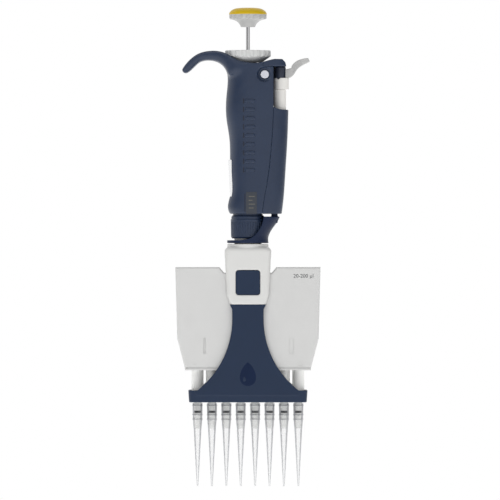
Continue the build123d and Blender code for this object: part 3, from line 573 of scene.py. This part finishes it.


# Grip bars down the handle, and beside each of them a dark strip of painted shadow. All in millimetres.
GRIP_BARS = 9
GRIP_X = 1.4
GRIP_Z = (197.5, 240.5)
SHADOW_X = GRIP_X - 4.1
grip_step = (GRIP_Z[1] - GRIP_Z[0]) / (GRIP_BARS - 1)
grip_levels = [GRIP_Z[0] + i * grip_step for i in range(GRIP_BARS)]
bars = [(GRIP_X, z) for z in grip_levels]
shadow_places = [(SHADOW_X, z) for z in grip_levels]
bar_outline = rounded_bar(3.2, 1.2, 0.9)
shadow_outline = rounded_bar(0.5, 2.0, 0.4)
pads("grip_bars", handle, bars, bar_outline, 0.6, "navy", "handle", crown=0.3)
# The dark strips are painted shadow, in the darker navy, raised a little off the handle.
pads("grip_painted_shadows", handle, shadow_places, shadow_outline, 0.12, "navy_shade_and_edge", "handle")

# The label: a dark edge beside it, and plain lines across it, each with its height and half width.
LABEL_EDGE = [(-1.9, 177.0)]
LABEL_LINES = [(181.0, 2.2), (178.6, 1.4), (176.2, 2.2), (173.8, 1.8)]
LABEL_LINE_LEFT = 0.2
label = nodes["label_plate"]
edge_outline = rounded_bar(0.35, 6.6, 0.2)
pads("label_edge", handle, LABEL_EDGE, edge_outline, 0.12, "navy_shade_and_edge", "handle")
for number, (line_z, half_w) in enumerate(LABEL_LINES, start=1):
    place = [(LABEL_LINE_LEFT + half_w, line_z)]
    line_outline = rounded_bar(half_w, 0.3, 0.15)
    pads(f"label_line_{number}", label, place, line_outline, 0.1, "label_line", "handle")

# A drop of liquid printed on the ejector's front, with a glint.
DROP_AT = [(0.0, 67.8)]
GLINT_AT = [(-2.2, 66.6)]
big_drop = drop(5.2, 10.2)
small_drop = drop(1.0, 2.2)
pads("drop_mark", shovel, DROP_AT, big_drop, 0.12, "mark_ink", "collar", crown=0.1)
pads("drop_glint", shovel, GLINT_AT, small_drop, 0.24, "navy_shovel", "collar", crown=0.1)

# Rims round the tips: half the depth and height of a rim, in millimetres, and how finely it is made.
RIM_DEPTH = 0.12
RIM_HEIGHT = 0.28
RIM_CORNERS = 8
RIM_STEPS = 40


def tip_rims(name, height, radius):
    """Adds a rim round each of the tips, at a height and with a radius in millimetres."""
    build = bmesh.new()
    turns = [2 * math.pi * step / RIM_STEPS for step in range(RIM_STEPS)]
    for number in range(1, 9):
        low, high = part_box(f"tip_{number}")
        centre_x = (low[0] + high[0]) / 2
        rings = []
        for corner in range(RIM_CORNERS):
            tilt = 2 * math.pi * corner / RIM_CORNERS
            reach = (radius + RIM_DEPTH * math.cos(tilt)) * MM
            z = (height + RIM_HEIGHT * math.sin(tilt)) * MM
            spots = [(centre_x + reach * math.cos(turn), reach * math.sin(turn), z) for turn in turns]
            rings.append([build.verts.new(spot) for spot in spots])
        for one, other in zip(rings, rings[1:] + rings[:1]):
            for i in range(RIM_STEPS):
                j = (i + 1) % RIM_STEPS
                build.faces.new((one[i], one[j], other[j], other[i]))
    add_piece(name, bake(name, build), "tip_ring", "tips")


tip_rims("tip_step_rims", 41.85, 3.12)
tip_rims("tip_middle_rims", 44.65, 3.17)
tip_rims("tip_top_rims", 50.55, 3.22)


def letters(text, thickness):
    """The mesh of a line of text, flat in XY, one unit high, centred on the origin."""
    curve = bpy.data.curves.new("letters", "FONT")
    curve.body = text
    curve.resolution_u = 3
    carrier = new_object("letters", curve)
    graph = bpy.context.evaluated_depsgraph_get()
    mesh = bpy.data.meshes.new_from_object(carrier.evaluated_get(graph))
    bpy.data.objects.remove(carrier)
    points = np.array([vertex.co for vertex in mesh.vertices])
    low, high = points.min(axis=0), points.max(axis=0)
    points = (points - (low + high) / 2) / (high[1] - low[1])
    mesh.vertices.foreach_set("co", points.ravel())
    build = bmesh.new()
    build.from_mesh(mesh)
    bmesh.ops.remove_doubles(build, verts=build.verts, dist=0.002)
    solid = bmesh.ops.extrude_face_region(build, geom=build.faces[:])
    raised = [item for item in solid["geom"] if isinstance(item, bmesh.types.BMVert)]
    bmesh.ops.translate(build, verts=raised, vec=(0, 0, thickness))
    bmesh.ops.recalc_face_normals(build, faces=build.faces)
    build.to_mesh(mesh)
    build.free()
    return mesh


# The volume range, in microlitres, on the right wing of the casing. All in millimetres.
RANGE_CENTRE = (34.6, 131.2)
RANGE_HEIGHT = 2.9
RANGE_NARROW = 0.97
RANGE_SINK = 0.01
range_mesh = letters("20-200 \u00b5l", 0.02)
case_front_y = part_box("case_front")[0][1]
for vertex in range_mesh.vertices:
    x, z, depth = vertex.co
    vertex.co.x = (RANGE_CENTRE[0] + x * RANGE_HEIGHT * RANGE_NARROW) * MM
    vertex.co.z = (RANGE_CENTRE[1] + z * RANGE_HEIGHT) * MM
    vertex.co.y = case_front_y + (RANGE_SINK - depth * RANGE_HEIGHT) * MM
add_piece("volume_range", range_mesh, "ink", "manifold")


# How high the figures on the drums are, and how deep they are sunk, in millimetres.
DIGIT_HEIGHT = 3.8
DIGIT_SINK = 0.04


def drum_digits(node, body, shown):
    """Figures round a counter drum, with the one that is shown facing the window."""
    low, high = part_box(node)
    radius = (high[0] - low[0]) / 2
    middle_z = (low[2] + high[2]) / 2
    build = bmesh.new()
    for digit in range(10):
        mesh = letters(str(digit), 0.05)
        turn = math.pi + math.radians(36) * (shown - digit)
        for vertex in mesh.vertices:
            x, y, depth = vertex.co * DIGIT_HEIGHT * MM
            angle = turn + x / radius
            reach = radius + depth - DIGIT_SINK * MM
            vertex.co = (reach * math.cos(angle), reach * math.sin(angle), middle_z + y)
        build.from_mesh(mesh)
        bpy.data.meshes.remove(mesh)
    figures = bpy.data.meshes.new(node + "_figures")
    build.to_mesh(figures)
    build.free()
    add_piece(node + "_figures", figures, "ink", body)


drum_digits("hundreds_drum", "hundreds_drum", 2)
drum_digits("tens_drum", "tens_drum", 0)
drum_digits("units_drum", "thumbwheel", 0)


# --------------------------------------------------------------------------------- stage


# The tent's light round the object: degrees from the front towards the ejector lever, and how bright.
TENT_RING = [
    (-180, 1.0),
    (-110, 0.95),
    (-68, 0.15),
    (-28, 0.15),
    (-5, 0.8),
    (50, 0.8),
    (85, 0.2),
    (110, 0.3),
    (150, 1.0),
    (180, 1.0),
]
TENT_TOP = 0.3

# The floor, in metres: how far below the object it is, and half its width.
FLOOR_DROP = 0.12
FLOOR_HALF = 2.8

# The camera, in metres: how far in front it stands, how wide the picture is there, and its X and Z.
CAMERA_DISTANCE = 4.0
FRAME_WIDTH = 0.3126
VIEW_CENTRE = (0.0013, 0.1476)
SENSOR_WIDTH = 36.0


def stage():
    """A plain pale floor, well below the object, which hangs clear of it."""
    floor_z = cad_box[0][2] - FLOOR_DROP
    mesh = bpy.data.meshes.new("studio_floor")
    build = bmesh.new()
    bmesh.ops.create_grid(build, x_segments=8, y_segments=8, size=FLOOR_HALF)
    build.to_mesh(mesh)
    build.free()
    floor = new_object("studio_floor", mesh)
    floor.location = (0, 0, floor_z)
    material, shader = new_material("studio_white")
    shader.inputs["Base Color"].default_value = (0.93, 0.93, 0.93, 1)
    shader.inputs["Roughness"].default_value = 0.9
    shader.inputs["Specular IOR Level"].default_value = 0.1
    shader.inputs["Emission Color"].default_value = (1, 1, 1, 1)
    shader.inputs["Emission Strength"].default_value = 0.7
    mesh.materials.append(material)


def sky():
    """Plain white to look at, and for light a soft tent with dark flags left and right of the camera."""
    world = bpy.data.worlds.new("studio")
    world.use_nodes = True
    bpy.context.scene.world = world
    tree = world.node_tree
    backdrop = tree.nodes["Background"]
    backdrop.inputs["Color"].default_value = (1, 1, 1, 1)
    tent = tree.nodes.new("ShaderNodeBackground")
    coordinates = tree.nodes.new("ShaderNodeTexCoord")
    split = tree.nodes.new("ShaderNodeSeparateXYZ")
    tree.links.new(coordinates.outputs["Generated"], split.inputs["Vector"])
    back = tree.nodes.new("ShaderNodeMath")
    back.operation = "MULTIPLY"
    back.inputs[1].default_value = -1.0
    tree.links.new(split.outputs["Y"], back.inputs[0])
    bearing = tree.nodes.new("ShaderNodeMath")
    bearing.operation = "ARCTAN2"
    tree.links.new(split.outputs["X"], bearing.inputs[0])
    tree.links.new(back.outputs["Value"], bearing.inputs[1])
    ring_place = map_range(tree, bearing.outputs["Value"], (-math.pi, math.pi), (0.0, 1.0))
    ring = tree.nodes.new("ShaderNodeValToRGB")
    ring.color_ramp.interpolation = "EASE"
    stops = ring.color_ramp.elements
    while len(stops) < len(TENT_RING):
        stops.new(0.5)
    for stop, (degrees, level) in zip(stops, TENT_RING):
        stop.position = (degrees + 180) / 360
        stop.color = (level, level, level, 1)
    tree.links.new(ring_place, ring.inputs["Fac"])
    top = map_range(tree, split.outputs["Z"], (0.0, 1.0), (0.0, TENT_TOP))
    total = tree.nodes.new("ShaderNodeMath")
    tree.links.new(ring.outputs["Color"], total.inputs[0])
    tree.links.new(top, total.inputs[1])
    tree.links.new(total.outputs["Value"], tent.inputs["Strength"])
    ray = tree.nodes.new("ShaderNodeLightPath")
    mix = tree.nodes.new("ShaderNodeMixShader")
    tree.links.new(ray.outputs["Is Camera Ray"], mix.inputs["Fac"])
    tree.links.new(tent.outputs["Background"], mix.inputs[1])
    tree.links.new(backdrop.outputs["Background"], mix.inputs[2])
    tree.links.new(mix.outputs["Shader"], tree.nodes["World Output"].inputs["Surface"])


def lamp(name, place, aim, size, power):
    """A soft lamp at a place, turned to another, with its size in metres and its power in watts."""
    data = bpy.data.lights.new(name, "AREA")
    data.shape = "RECTANGLE"
    data.size, data.size_y = size
    data.energy = power
    made = new_object(name, data)
    made.location = place
    made.rotation_euler = (Vector(aim) - Vector(place)).to_track_quat("-Z", "Y").to_euler()


stage()
sky()
lamp("key_lamp", (-0.5, -0.7, 0.75), (0, 0, 0.17), (0.5, 0.5), 2.0)

camera_data = bpy.data.cameras.new("camera")
camera_data.sensor_width = SENSOR_WIDTH
camera_data.lens = SENSOR_WIDTH * CAMERA_DISTANCE / FRAME_WIDTH
camera_data.clip_end = 50.0
camera = new_object("camera", camera_data)
camera.location = (VIEW_CENTRE[0], -CAMERA_DISTANCE, VIEW_CENTRE[1])
camera.rotation_euler = (math.pi / 2, 0, 0)
bpy.context.scene.camera = camera
bpy.context.scene.view_settings.view_transform = "Standard"

# From the side all eight tips stand in line, and a ray meets four of each tip's surfaces.
bpy.context.scene.cycles.transparent_max_bounces = 40
